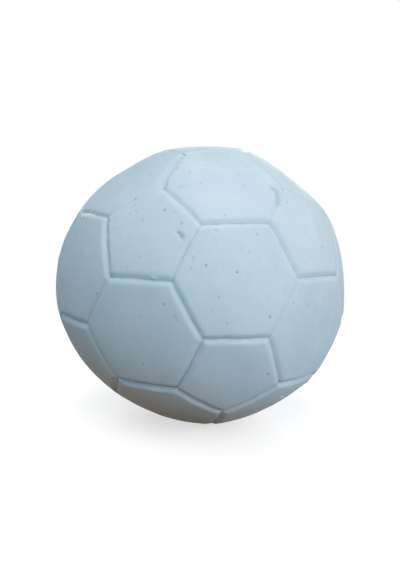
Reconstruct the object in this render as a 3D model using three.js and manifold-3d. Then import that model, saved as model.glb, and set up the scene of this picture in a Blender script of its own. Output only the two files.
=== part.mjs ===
// Mini soccer ball: 32 moulded cover panels on a cloth carcass, with a bladder and a needle valve inside.
// The origin is the middle of the ball, +Z goes through the middle of the top pentagon, sizes in millimetres.

import * as THREE from 'three';
import { mergeVertices } from 'three/addons/utils/BufferGeometryUtils.js';
import Module from 'manifold-3d';

const wasm = await Module();
wasm.setup();

// Driving dimensions of the ball
const ballWidth = 142;
const ballHeight = 136;

// Cover panels: foam-backed, with rolled shoulders that meet in a thin seam
const coverThickness = 4;
const seamGap = 0.3;
const seamDepth = 1.4;
const shoulderWidth = 2.6;

// Each panel is a flatter cap than the ball, by a share of the ball's curve, with its edges raised. The panel that
// holds the valve comes back to the ball's own curve round it
const panelFlatness = 0.3;
const panelEdgeRise = 0.5;
const valveSwellReach = 9;

// Layers under the cover
const layerGap = 0.3;
const carcassThickness = 1.4;
const bladderThickness = 0.9;
const patchThickness = 1;
const flangeThickness = 1.4;

// Valve, as diameters about its own axis
const stemDiameter = 8.6;
const flangeDiameter = 19;
const patchDiameter = 27;
const plugDiameter = 5;
const beadDiameter = 6.4;
const channelDiameter = 1.8;
const funnelDiameter = 3.2;
const fitGap = 0.3;

// Valve, as lengths along its axis
const rimRecess = 0.5;
const rimChamfer = 0.2;
const plugRecess = 0.4;
const funnelDepth = 1;
const beadDepth = 3.4;
const beadHeight = 1.8;
const channelFloor = 1.2;
const plugTail = 1.5;

// Where the pattern stands: azimuths are degrees from +X towards +Y
const firstPentagonAzimuth = 31.8;
const ringSize = 5;
const ringStep = 360 / ringSize;
const valveAzimuth = firstPentagonAzimuth + 1.5 * ringStep;

// Facets
const edgeSteps = 4;
const innerRing = 0.45;
const layerDetail = 5;
const roundSides = 24;

// Swells and hollows of a ball that isn't quite round: azimuth, elevation and reach in degrees, rise in mm
const swells = [
  { azimuth: -38, elevation: -57, reach: 24, rise: 1.4 },
  { azimuth: -175, elevation: 53, reach: 21, rise: -1.5 },
  { azimuth: -150, elevation: -50, reach: 18, rise: -1.2 },
  { azimuth: -168, elevation: -6, reach: 14, rise: 0.8 },
  { azimuth: -6, elevation: 74, reach: 10, rise: 0.5 },
  { azimuth: -19, elevation: -31, reach: 14, rise: 0.5 },
  { azimuth: -6, elevation: 50, reach: 10, rise: -0.4 },
  { azimuth: -102, elevation: -69, reach: 24, rise: 0.3 },
  { azimuth: -11, elevation: -2, reach: 10, rise: -0.3 },
];

// Corners that the mould pulled off the regular pattern, as millimetres east and north. A corner is named
// by the pentagon that it belongs to and the pentagon that it points at
const cornerDrift = {
  'top>upper_4': [1.4, -3.9],
  'upper_3>upper_4': [0.0, -1.6],
  'upper_4>top': [1.4, -3.3],
  'upper_4>upper_3': [0.6, -1.3],
  'upper_4>upper_5': [-1.2, -2.0],
  'upper_5>upper_4': [-0.1, -1.0],
  'upper_5>top': [-3.3, -1.5],
  'upper_5>lower_4': [-2.4, 0.5],
  'upper_5>lower_5': [-1.4, -1.1],
  'upper_4>lower_4': [0.1, -0.5],
  'upper_4>lower_3': [0.0, -1.2],
  'lower_4>upper_4': [-1.4, 0.1],
  'lower_4>upper_5': [-1.8, 0.2],
  'lower_4>lower_3': [-1.0, -1.0],
  'lower_3>upper_4': [1.2, 0.7],
  'lower_3>lower_4': [-1.5, -0.6],
  'lower_4>lower_5': [-0.4, -0.1],
  'lower_5>lower_4': [1.9, -1.2],
  'lower_4>bottom': [-0.6, 0.2],
};

// Seams that were pressed in less deeply, as a share of the full depth
const shallowSeams = [
  { from: 'upper_5>lower_4', to: 'lower_4>upper_5', share: 0.3 },
  { from: 'upper_4>upper_3', to: 'upper_4>top', share: 0.25 },
  { from: 'upper_5>upper_4', to: 'upper_5>top', share: 0.4 },
  { from: 'upper_5>top', to: 'upper_5>upper_1', share: 0.3 },
  { from: 'upper_5>lower_5', to: 'upper_5>upper_1', share: 0.45 },
  { from: 'upper_5>upper_1', to: 'upper_1>upper_5', share: 0.4 },
  { from: 'upper_4>upper_5', to: 'upper_4>lower_4', share: 0.45 },
  { from: 'top>upper_4', to: 'top>upper_3', share: 0.4 },
  { from: 'top>upper_5', to: 'upper_5>top', share: 0.6 },
  { from: 'lower_3>upper_4', to: 'lower_3>lower_4', share: 0.4 },
  { from: 'lower_3>upper_4', to: 'upper_4>lower_3', share: 0.6 },
  { from: 'lower_4>upper_4', to: 'lower_4>lower_3', share: 0.7 },
];

const coverBlue = new THREE.MeshStandardMaterial({ color: 0xaec8d4, roughness: 0.8, metalness: 0 });
const carcassCloth = new THREE.MeshStandardMaterial({ color: 0xd8d3c4, roughness: 0.95, metalness: 0 });
const bladderRubber = new THREE.MeshStandardMaterial({ color: 0x2b2b2d, roughness: 0.6, metalness: 0 });
const patchRubber = new THREE.MeshStandardMaterial({ color: 0x4a4a4c, roughness: 0.7, metalness: 0 });
const valveRubber = new THREE.MeshStandardMaterial({ color: 0x9fb6c1, roughness: 0.6, metalness: 0 });
const plugRubber = new THREE.MeshStandardMaterial({ color: 0x3b4347, roughness: 0.5, metalness: 0 });

// Directions

function direction(azimuth, elevation) {
  const a = THREE.MathUtils.degToRad(azimuth);
  const e = THREE.MathUtils.degToRad(elevation);
  return new THREE.Vector3(Math.cos(e) * Math.cos(a), Math.cos(e) * Math.sin(a), Math.sin(e));
}

const up = new THREE.Vector3(0, 0, 1);

// Radius of the ball's own curve along a unit direction, before the panels' caps and seams
function skinRadius(dir) {
  const across = (dir.x * dir.x + dir.y * dir.y) / (ballWidth / 2) ** 2;
  const along = (dir.z * dir.z) / (ballHeight / 2) ** 2;
  let radius = 1 / Math.sqrt(across + along);
  for (const swell of swells) {
    const angle = dir.angleTo(direction(swell.azimuth, swell.elevation));
    const reach = THREE.MathUtils.degToRad(swell.reach);
    radius += swell.rise * Math.exp(-((angle / reach) ** 2));
  }
  return radius;
}

// The panel pattern: 12 pentagons on an icosahedron's corners, 20 hexagons on its faces

function pentagonCentres() {
  const centres = new Map([['top', up.clone()]]);
  const ringElevation = THREE.MathUtils.radToDeg(Math.atan(0.5));
  for (let k = 0; k < ringSize; k += 1) {
    const azimuth = firstPentagonAzimuth + k * ringStep;
    centres.set(`upper_${k + 1}`, direction(azimuth, ringElevation));
  }
  for (let k = 0; k < ringSize; k += 1) {
    const azimuth = firstPentagonAzimuth + (k + 0.5) * ringStep;
    centres.set(`lower_${k + 1}`, direction(azimuth, -ringElevation));
  }
  centres.set('bottom', up.clone().negate());
  return centres;
}

const pentagons = pentagonCentres();
const neighbourAngle = Math.atan(2) * 1.01;

function areNeighbours(a, b) {
  return a !== b && pentagons.get(a).angleTo(pentagons.get(b)) < neighbourAngle;
}

// A third of the way from pentagon a's centre to pentagon b's, then moved by its drift
function cornerDirection(a, b) {
  const dir = pentagons.get(a).clone().multiplyScalar(2).add(pentagons.get(b)).normalize();
  const [east, north] = cornerDrift[`${a}>${b}`] ?? [0, 0];
  const eastward = new THREE.Vector3().crossVectors(up, dir).normalize();
  const northward = new THREE.Vector3().crossVectors(dir, eastward);
  dir.addScaledVector(eastward, east / (ballWidth / 2));
  dir.addScaledVector(northward, north / (ballWidth / 2));
  return dir.normalize();
}

// Corners counter-clockwise round the panel, seen from outside, and the direction of its middle
function orderedPanel(name, cornerNames) {
  const corners = cornerNames.map(([a, b]) => ({ name: `${a}>${b}`, dir: cornerDirection(a, b) }));
  const middle = new THREE.Vector3();
  corners.forEach((corner) => middle.add(corner.dir));
  middle.normalize();
  const side = new THREE.Vector3().crossVectors(middle, corners[0].dir).normalize();
  const ahead = new THREE.Vector3().crossVectors(side, middle);
  const turn = (corner) => Math.atan2(corner.dir.dot(side), corner.dir.dot(ahead));
  corners.sort((a, b) => turn(a) - turn(b));
  return { name, corners, middle };
}

function pentagonPanels() {
  const names = [...pentagons.keys()];
  return names.map((a) => {
    const around = names.filter((b) => areNeighbours(a, b));
    const [ring, place] = a.split('_');
    const name = place ? `${ring}_pentagon_${place}` : `${ring}_pentagon`;
    return orderedPanel(name, around.map((b) => [a, b]));
  });
}

// The four rings of hexagons, named by where their middles lie
function hexagonName(middle) {
  const ring = ['bottom', 'lower', 'upper', 'top'][[-0.5, 0, 0.5].filter((z) => middle.z > z).length];
  const turned = THREE.MathUtils.radToDeg(Math.atan2(middle.y, middle.x)) - firstPentagonAzimuth;
  const place = THREE.MathUtils.euclideanModulo(Math.round((2 * turned) / ringStep) / 2, ringSize);
  return `${ring}_hexagon_${Math.floor(place) + 1}`;
}

function hexagonPanels() {
  const names = [...pentagons.keys()];
  const panels = [];
  names.forEach((a, i) => names.slice(i + 1).forEach((b, j) => names.slice(i + j + 2).forEach((c) => {
    if (!areNeighbours(a, b) || !areNeighbours(b, c) || !areNeighbours(a, c)) return;
    const panel = orderedPanel('', [[a, b], [b, a], [b, c], [c, b], [c, a], [a, c]]);
    panel.name = hexagonName(panel.middle);
    panels.push(panel);
  })));
  return panels;
}

// Seams

function seamShare(from, to) {
  const found = shallowSeams.find((seam) => (seam.from === from && seam.to === to)
    || (seam.from === to && seam.to === from));
  return found ? found.share : 1;
}

// Depth along a seam: a shallow seam deepens again towards its two corners
function seamDepthAt(from, to, along) {
  const fromMiddle = Math.abs(2 * along - 1);
  return seamDepth * THREE.MathUtils.lerp(seamShare(from, to), 1, fromMiddle ** 4);
}

// How far the skin has dropped at a distance from the seam: a quarter round as wide as the shoulder
function shoulderDrop(distance, depth) {
  const closeness = Math.max(0, 1 - distance / shoulderWidth);
  return depth * (1 - Math.sqrt(1 - closeness * closeness));
}

// Panels

function panelApothem(panel) {
  const { corners, middle } = panel;
  const distances = corners.map((corner, i) => {
    const next = corners[(i + 1) % corners.length];
    const seamPlane = new THREE.Vector3().crossVectors(corner.dir, next.dir).normalize();
    return Math.asin(seamPlane.dot(middle)) * (ballWidth / 2);
  });
  return distances.reduce((sum, distance) => sum + distance) / distances.length;
}

function holdsValve(panel) {
  return panel.middle.distanceTo(valvePanelMiddle) < 0.01;
}

// How far a panel's cap is above the ball's own curve
function capRise(panel, apothem, dir) {
  const out = dir.distanceTo(panel.middle) * (ballWidth / 2);
  const rise = panelEdgeRise + (panelFlatness * (out * out - apothem * apothem)) / ballWidth;
  return holdsValve(panel) ? rise * (1 - Math.exp(-((out / valveSwellReach) ** 2))) : rise;
}

function panelGeometry(panel) {
  const { corners, middle } = panel;
  const apothem = panelApothem(panel);
  const ringPoints = corners.length * edgeSteps;
  const positions = [];
  const triangles = [];

  const addRing = (distance, radiusOf) => {
    const start = positions.length / 3;
    const share = 1 - distance / apothem;
    corners.forEach((corner, i) => {
      const next = corners[(i + 1) % corners.length];
      for (let step = 0; step < edgeSteps; step += 1) {
        const along = step / edgeSteps;
        const onEdge = corner.dir.clone().lerp(next.dir, along).normalize();
        const dir = middle.clone().lerp(onEdge, share).normalize();
        const radius = radiusOf(dir, seamDepthAt(corner.name, next.name, along));
        positions.push(...dir.multiplyScalar(radius).toArray());
      }
    });
    return start;
  };
  const addMiddle = (radiusOf) => {
    positions.push(...middle.clone().multiplyScalar(radiusOf(middle, 0)).toArray());
    return positions.length / 3 - 1;
  };
  const band = (outer, inner) => {
    for (let k = 0; k < ringPoints; k += 1) {
      const next = (k + 1) % ringPoints;
      triangles.push(outer + k, outer + next, inner + next);
      triangles.push(outer + k, inner + next, inner + k);
    }
  };
  const fan = (ring, centre, outward) => {
    for (let k = 0; k < ringPoints; k += 1) {
      const next = (k + 1) % ringPoints;
      triangles.push(...(outward ? [ring + k, ring + next, centre] : [ring + next, ring + k, centre]));
    }
  };

  const outside = (distance) => (dir, depth) => (
    skinRadius(dir) + capRise(panel, apothem, dir) - shoulderDrop(distance, depth));
  const inside = (dir) => skinRadius(dir) - coverThickness;
  const wall = seamGap / 2;
  const midway = apothem * (1 - innerRing);
  const outerRings = [wall, shoulderWidth * 0.35, shoulderWidth, midway].map((distance) => (
    addRing(distance, outside(distance))));
  const innerRings = [midway, wall].map((distance) => addRing(distance, inside));
  for (let k = 1; k < outerRings.length; k += 1) band(outerRings[k - 1], outerRings[k]);
  fan(outerRings.at(-1), addMiddle(outside(apothem)), true);
  fan(innerRings[0], addMiddle(inside), false);
  band(innerRings[0], innerRings[1]);
  band(innerRings[1], outerRings[0]);

  const geometry = new THREE.BufferGeometry();
  geometry.setAttribute('position', new THREE.Float32BufferAttribute(positions, 3));
  geometry.setIndex(triangles);
  geometry.computeVertexNormals();
  return geometry;
}

// Solids

function toManifold(geometry) {
  const bare = geometry.clone();
  bare.deleteAttribute('normal');
  bare.deleteAttribute('uv');
  const merged = mergeVertices(bare, 1e-5);
  return new wasm.Manifold(new wasm.Mesh({
    numProp: 3,
    vertProperties: new Float32Array(merged.attributes.position.array),
    triVerts: new Uint32Array(merged.index.array),
  }));
}

function toGeometry(solid) {
  const mesh = solid.getMesh();
  const geometry = new THREE.BufferGeometry();
  geometry.setAttribute('position', new THREE.BufferAttribute(new Float32Array(mesh.vertProperties), 3));
  geometry.setIndex(new THREE.BufferAttribute(new Uint32Array(mesh.triVerts), 1));
  geometry.computeVertexNormals();
  return geometry;
}

// A closed surface that follows the ball's outside at a constant depth under it
function surfaceUnder(depth) {
  const geometry = new THREE.IcosahedronGeometry(1, layerDetail);
  const position = geometry.attributes.position;
  const dir = new THREE.Vector3();
  for (let k = 0; k < position.count; k += 1) {
    dir.fromBufferAttribute(position, k).normalize();
    dir.multiplyScalar(skinRadius(dir) - depth);
    position.setXYZ(k, dir.x, dir.y, dir.z);
  }
  return toManifold(geometry);
}

function layer(depth, thickness) {
  return surfaceUnder(depth).subtract(surfaceUnder(depth + thickness));
}

// Depths of the layers' outer faces. A panel's inner face is faceted, so its facets lie a little below
// its corners, and the carcass starts below the lowest of them
const widestFacet = panelApothem(hexagonPanels()[0]) * innerRing;
const facetSag = widestFacet ** 2 / (4 * ballHeight);
const carcassDepth = coverThickness + facetSag + layerGap;
const bladderDepth = carcassDepth + carcassThickness + layerGap;
const patchDepth = bladderDepth + bladderThickness + layerGap;
const flangeDepth = patchDepth + patchThickness + layerGap;

// Valve: everything here turns about the line through the middle of its hexagon

const valvePanelMiddle = hexagonPanels()
  .map((panel) => panel.middle)
  .filter((middle) => middle.z > 0 && middle.z < 0.5)
  .reduce((best, middle) => {
    const wanted = direction(valveAzimuth, 0);
    return middle.dot(wanted) > best.dot(wanted) ? middle : best;
  });
const skinAtValve = skinRadius(valvePanelMiddle);
const rimHeight = skinAtValve - rimRecess;
const stemFoot = skinAtValve - flangeDepth - flangeThickness / 2;

// A lathed solid whose profile gives distances from the valve's axis and from the middle of the ball
function turnedAboutValve(profile) {
  const points = profile.map(([radius, height]) => new THREE.Vector2(radius, height));
  const geometry = new THREE.LatheGeometry(points, roundSides);
  const turn = new THREE.Quaternion().setFromUnitVectors(new THREE.Vector3(0, 1, 0), valvePanelMiddle);
  return geometry.applyQuaternion(turn);
}

function valveCore(diameter) {
  const radius = diameter / 2;
  const foot = skinAtValve / 2;
  const head = skinAtValve + coverThickness;
  return toManifold(turnedAboutValve([[0, foot], [radius, foot], [radius, head], [0, head]]));
}

const stemHole = valveCore(stemDiameter + 2 * fitGap);

function housingSolid() {
  const stem = stemDiameter / 2;
  const bore = plugDiameter / 2 + fitGap;
  const groove = beadDiameter / 2 + fitGap;
  const grooveTop = rimHeight - plugRecess - beadDepth + fitGap;
  const grooveFoot = grooveTop - beadHeight - 2 * fitGap;
  const tube = toManifold(turnedAboutValve([
    [bore, stemFoot],
    [stem, stemFoot],
    [stem, rimHeight - rimChamfer],
    [stem - rimChamfer, rimHeight],
    [bore + rimChamfer, rimHeight],
    [bore, rimHeight - rimChamfer],
    [bore, grooveTop],
    [groove, grooveTop],
    [groove, grooveFoot],
    [bore, grooveFoot],
    [bore, stemFoot],
  ]));
  const flange = layer(flangeDepth, flangeThickness).intersect(valveCore(flangeDiameter));
  return tube.add(flange.subtract(valveCore(2 * bore)));
}

function plugGeometry() {
  const body = plugDiameter / 2;
  const bead = beadDiameter / 2;
  const channel = channelDiameter / 2;
  const top = rimHeight - plugRecess;
  const beadTop = top - beadDepth;
  const beadFoot = beadTop - beadHeight;
  const foot = skinAtValve - flangeDepth - flangeThickness - plugTail;
  return turnedAboutValve([
    [0, foot],
    [channel * 1.5, foot],
    [body, foot + plugTail],
    [body, beadFoot],
    [bead, beadFoot],
    [bead, beadTop],
    [body, beadTop],
    [body, top],
    [funnelDiameter / 2, top],
    [channel, top - funnelDepth],
    [channel, foot + channelFloor],
    [0, foot + channelFloor],
  ]);
}

// The ball

const ball = new THREE.Group();
ball.name = 'mini_soccer_ball';

function addPiece(name, geometry, material) {
  const mesh = new THREE.Mesh(geometry, material);
  mesh.name = name;
  ball.add(mesh);
}

for (const panel of [...pentagonPanels(), ...hexagonPanels()]) {
  const whole = panelGeometry(panel);
  const geometry = holdsValve(panel) ? toGeometry(toManifold(whole).subtract(stemHole)) : whole;
  addPiece(holdsValve(panel) ? 'valve_hexagon' : panel.name, geometry, coverBlue);
}

addPiece('carcass', toGeometry(layer(carcassDepth, carcassThickness).subtract(stemHole)), carcassCloth);
addPiece('bladder', toGeometry(layer(bladderDepth, bladderThickness).subtract(stemHole)), bladderRubber);
const patchDisc = layer(patchDepth, patchThickness).intersect(valveCore(patchDiameter));
addPiece('valve_patch', toGeometry(patchDisc.subtract(stemHole)), patchRubber);
addPiece('valve_housing', toGeometry(housingSolid()), valveRubber);
addPiece('valve_plug', plugGeometry(), plugRubber);

export default ball;
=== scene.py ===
"""Mini soccer ball, photographed from the front.

A matte, pale blue cover of 32 panels with soft seams, pinholes and a few dents, and the needle valve at the
back. The ball's lengths are in millimetres until a mesh is made. The floor's and the lamps' are in metres.
"""

import itertools
import math

import bpy
import numpy as np
from mathutils import Matrix, Vector


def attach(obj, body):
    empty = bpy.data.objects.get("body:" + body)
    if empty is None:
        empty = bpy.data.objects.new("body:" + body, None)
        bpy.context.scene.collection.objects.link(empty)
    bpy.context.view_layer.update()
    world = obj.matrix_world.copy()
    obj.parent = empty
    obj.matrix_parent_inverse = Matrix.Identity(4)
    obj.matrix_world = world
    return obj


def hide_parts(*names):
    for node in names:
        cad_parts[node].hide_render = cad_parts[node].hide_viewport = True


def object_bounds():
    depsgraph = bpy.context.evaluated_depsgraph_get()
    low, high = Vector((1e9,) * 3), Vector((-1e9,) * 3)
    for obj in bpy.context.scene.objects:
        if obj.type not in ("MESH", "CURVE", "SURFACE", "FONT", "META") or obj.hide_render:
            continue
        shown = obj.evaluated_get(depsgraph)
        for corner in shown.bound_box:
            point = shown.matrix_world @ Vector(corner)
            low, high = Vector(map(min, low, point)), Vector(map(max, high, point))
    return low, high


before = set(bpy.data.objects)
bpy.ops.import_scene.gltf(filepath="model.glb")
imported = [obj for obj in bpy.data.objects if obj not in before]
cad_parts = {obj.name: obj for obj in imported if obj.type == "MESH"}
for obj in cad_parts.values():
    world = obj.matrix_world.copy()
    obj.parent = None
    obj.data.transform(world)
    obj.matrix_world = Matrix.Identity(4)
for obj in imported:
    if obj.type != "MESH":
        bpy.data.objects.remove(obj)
cad_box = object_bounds()

MM = 0.001

# The ball, as in the CAD model
BALL_WIDTH = 142.0
BALL_HEIGHT = 136.0
BALL_RADIUS = BALL_WIDTH / 2
COVER_THICKNESS = 4.0
FIRST_PENTAGON_AZIMUTH = 31.8
RING_SIZE = 5
RING_STEP = 360 / RING_SIZE
PENTAGON_RING_ELEVATION = math.degrees(math.atan(0.5))

# The rings of hexagons from the lowest up, and the heights between them as shares of the radius
HEXAGON_RINGS = ["bottom", "lower", "upper", "top"]
HEIGHTS_BETWEEN_RINGS = [-0.5, 0, 0.5]

# Pentagons are neighbours where the cosine of the angle between them is above this
NEIGHBOUR_COSINE = 0.4

# Where the panel with the valve is, and how near to it a panel's middle has to be, as a cosine
VALVE_AZIMUTH = FIRST_PENTAGON_AZIMUTH + 1.5 * RING_STEP
VALVE_ELEVATION = 10.8
VALVE_COSINE = 0.999

# Swells and hollows: azimuth, elevation and reach in degrees, rise in mm
SWELLS = [
    (-38, -57, 24, 1.4),
    (-175, 53, 21, -1.5),
    (-150, -50, 18, -1.2),
    (-168, -6, 14, 0.8),
    (-6, 74, 10, 0.5),
    (-19, -31, 14, 0.5),
    (-6, 50, 10, -0.4),
    (-102, -69, 24, 0.3),
    (-11, -2, 10, -0.3),
]

# The fine unevenness of the skin: how many waves, their wavelength and their height in mm, and how much the
# number of waves to a millimetre varies
WAVE_KINDS = [(16, 30.0, 0.07), (24, 11.0, 0.02), (32, 4.5, 0.005)]
WAVE_VARIATION = (0.7, 1.4)

# Each panel is a flatter cap than the ball: by this share of the ball's curve, with its edges raised by so
# many mm. The panel with the valve comes back to the ball's curve round it
PANEL_FLATNESS = 0.3
PANEL_EDGE_RISE = 0.5
VALVE_SWELL_REACH = 9.0

# The side of a panel in the regular pattern, and the square mm that keep a side's weight finite on the
# side itself
PANEL_SIDE = 28.7
SIDE_SOFTNESS = 0.01

# Corners pulled off the regular pattern, mm east and north. A corner is named by the pentagon
# that it belongs to and the pentagon that it points at
CORNER_DRIFT = {
    ("top", "upper_4"): (1.4, -3.9),
    ("upper_3", "upper_4"): (0.0, -1.6),
    ("upper_4", "top"): (1.4, -3.3),
    ("upper_4", "upper_3"): (0.6, -1.3),
    ("upper_4", "upper_5"): (-1.2, -2.0),
    ("upper_5", "upper_4"): (-0.1, -1.0),
    ("upper_5", "top"): (-3.3, -1.5),
    ("upper_5", "lower_4"): (-2.4, 0.5),
    ("upper_5", "lower_5"): (-1.4, -1.1),
    ("upper_4", "lower_4"): (0.1, -0.5),
    ("upper_4", "lower_3"): (0.0, -1.2),
    ("lower_4", "upper_4"): (-1.4, 0.1),
    ("lower_4", "upper_5"): (-1.8, 0.2),
    ("lower_4", "lower_3"): (-1.0, -1.0),
    ("lower_3", "upper_4"): (1.2, 0.7),
    ("lower_3", "lower_4"): (-1.5, -0.6),
    ("lower_4", "lower_5"): (-0.4, -0.1),
    ("lower_5", "lower_4"): (1.9, -1.2),
    ("lower_4", "bottom"): (-0.6, 0.2),
}

# Seams: a soft valley with a fine crease at its foot
VALLEY_DEPTH = 1.2
VALLEY_REACH = 1.5
CREASE_DEPTH = 0.2
CREASE_WIDTH = 0.5
SEAM_HALF_GAP = 0.02

# The power by which the valleys of the seams that meet at a corner blend
CORNER_ROUNDING = 3.0

# How far a seam wanders sideways, in a bow with ripples. Its depth has ripples too. A ripple is given by its
# half waves on the way from corner to corner, and by its share of the whole
SEAM_WANDER = 0.22
WANDER_RIPPLES = [(3, 0.5), (7, 0.25)]
DEPTH_RIPPLES = [(5, 0.08), (11, 0.05)]

# How much of a seam's difference from the usual depth is made up at its corners, and the power by which it is
CORNER_RETURN = 0.6
CORNER_RETURN_POWER = 8

# Seams that are pressed in more or less than the rest: the two corners, and the shares of the usual depth
# that the valley and the crease have
SEAM_SHARES = {
    (("upper_5", "lower_4"), ("lower_4", "upper_5")): (0.45, 0.2),
    (("upper_4", "upper_3"), ("upper_4", "top")): (0.35, 0.25),
    (("upper_5", "upper_4"), ("upper_5", "top")): (0.4, 0.15),
    (("upper_5", "top"), ("upper_5", "upper_1")): (0.3, 0.4),
    (("upper_5", "lower_5"), ("upper_5", "upper_1")): (0.45, 0.8),
    (("upper_5", "upper_1"), ("upper_1", "upper_5")): (0.4, 0.5),
    (("upper_5", "lower_5"), ("lower_5", "upper_5")): (0.4, 0.3),
    (("upper_4", "upper_5"), ("upper_4", "lower_4")): (0.45, 0.9),
    (("upper_4", "top"), ("top", "upper_4")): (1.25, 0.2),
    (("upper_4", "top"), ("upper_4", "upper_5")): (0.75, 0.5),
    (("upper_4", "upper_5"), ("upper_5", "upper_4")): (1.0, 1.0),
    (("top", "upper_4"), ("top", "upper_3")): (0.3, 0.3),
    (("lower_4", "upper_5"), ("lower_4", "lower_5")): (0.7, 0.8),
    (("lower_4", "upper_4"), ("lower_4", "lower_3")): (0.8, 2.0),
    (("upper_4", "lower_4"), ("lower_4", "upper_4")): (0.9, 0.8),
    (("upper_4", "lower_3"), ("upper_4", "lower_4")): (0.9, 0.8),
    (("top", "upper_4"), ("top", "upper_5")): (0.7, 0.3),
    (("top", "upper_5"), ("upper_5", "top")): (0.45, 0.2),
    (("lower_3", "upper_4"), ("upper_4", "lower_3")): (0.45, 1.3),
    (("lower_3", "upper_4"), ("lower_3", "lower_4")): (0.45, 1.2),
    (("lower_3", "lower_4"), ("lower_3", "bottom")): (1.3, 1.5),
    (("lower_3", "lower_4"), ("lower_4", "lower_3")): (2.4, 3.0),
    (("lower_4", "lower_3"), ("lower_4", "bottom")): (1.4, 1.4),
    (("lower_4", "bottom"), ("lower_4", "lower_5")): (1.7, 1.8),
    (("lower_4", "lower_5"), ("lower_5", "lower_4")): (1.65, 2.0),
}

# Sides where the valley is narrower or wider: the panel, the side's two corners and the share of the usual
# reach
SIDE_REACHES = [
    ("top_hexagon_3", ("upper_4", "top"), ("top", "upper_4"), 1.9),
    ("top_hexagon_4", ("upper_4", "top"), ("top", "upper_4"), 0.25),
]

# The valve, turned about the middle of its hexagon. Depths are from the skin
VALVE_HOLE_RADIUS = 4.6
VALVE_DISH_DEPTH = 0.3
VALVE_DISH_REACH = 3.0
VALVE_LIP = 0.5
STEM_RADIUS = 4.3
RIM_RECESS = 0.5
RIM_ROUNDING = 0.2
PLUG_RADIUS = 2.5
PLUG_BORE_RADIUS = 2.8
PLUG_RECESS = 0.4
PLUG_FOOT_RADIUS = 1.35
PLUG_FOOT_DEPTH = 11.6
PLUG_TAIL = 1.5
BEAD_RADIUS = 3.2
BEAD_TOP_DEPTH = 4.3
BEAD_HEIGHT = 1.8
BEAD_GROOVE_RADIUS = 3.5
BEAD_CLEARANCE = 0.3
FUNNEL_RADIUS = 1.6
FUNNEL_DEPTH = 1.0
CHANNEL_RADIUS = 0.9
CHANNEL_END_DEPTH = 10.4
FLANGE_RADIUS = 9.5
FLANGE_DEPTH = 8.73
FLANGE_THICKNESS = 1.4

# The camera, worked out from the seams and the outline in the photograph's 400 x 570 frame
FRAME_WIDTH_PX = 400
FRAME_HEIGHT_PX = 570
BALL_CENTRE_PX = (201.7, 283.0)
BALL_RADIUS_PX = 141.4
CAMERA_ELEVATION = 9.6
CAMERA_ROLL = 1.6
BALL_SHARE_OF_DISTANCE = 0.189
CAMERA_DISTANCE = BALL_RADIUS / BALL_SHARE_OF_DISTANCE
SENSOR_WIDTH = 36.0
CAMERA_CLIP_START = 0.01
PX_PER_MM = BALL_RADIUS_PX / BALL_RADIUS

# Pinholes that the photograph shows: where in its frame, and how dark, from 0 to 1
PINHOLES = [
    (164.0, 210.0, 0.9),
    (181.2, 223.6, 0.9),
    (205.9, 265.4, 0.9),
    (237.4, 272.2, 1.0),
    (322.8, 247.0, 1.0),
    (269.7, 317.1, 0.9),
    (226.4, 323.5, 0.6),
    (193.0, 258.0, 0.5),
    (142.2, 364.7, 0.7),
    (163.2, 304.9, 0.8),
    (97.0, 294.0, 1.0),
    (267.1, 374.0, 0.9),
    (308.0, 306.0, 0.6),
    (250.8, 162.8, 0.6),
    (247.5, 165.3, 0.5),
    (238.8, 172.4, 0.5),
    (200.4, 182.6, 0.6),
    (189.2, 171.1, 0.6),
    (177.3, 168.7, 0.7),
    (182.6, 163.6, 0.4),
    (181.0, 187.0, 0.5),
    (225.1, 215.5, 0.6),
    (286.2, 202.8, 0.7),
    (244.2, 184.7, 0.5),
    (135.2, 199.0, 0.8),
    (134.6, 205.6, 0.6),
    (136.0, 211.6, 0.5),
    (129.8, 214.4, 0.5),
    (132.0, 208.0, 0.3),
    (142.0, 220.0, 0.4),
    (174.6, 212.0, 0.3),
    (139.0, 257.0, 0.3),
    (191.0, 269.2, 0.4),
    (127.4, 267.6, 0.4),
    (119.7, 188.0, 0.4),
    (133.4, 180.0, 0.3),
    (121.6, 227.0, 0.3),
    (100.2, 264.6, 0.4),
    (215.6, 230.4, 0.5),
    (256.8, 234.6, 0.6),
    (249.4, 252.0, 0.3),
    (242.0, 248.0, 0.3),
    (293.2, 197.6, 0.4),
    (308.0, 204.2, 0.4),
    (316.8, 210.0, 0.4),
    (79.4, 323.0, 0.6),
    (140.0, 318.0, 0.3),
    (173.6, 316.2, 0.5),
    (176.6, 320.6, 0.4),
    (218.7, 297.6, 0.5),
    (283.4, 290.0, 0.3),
    (293.4, 302.7, 0.5),
    (211.6, 311.0, 0.3),
    (166.4, 184.8, 0.8),
]
PINHOLE_DEPTH = 0.5
PINHOLE_RADIUS = 0.48

# Stray pinholes: how many and how dark. On the side that the photograph shows, where the cosine of the angle
# to the camera is above a limit, they keep only a share of their dark
STRAY_PINHOLES = 240
STRAY_DARKNESS = (0.3, 1.0)
SHOWN_COSINE = 0.15
SHOWN_SHARE = 0.15

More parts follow.
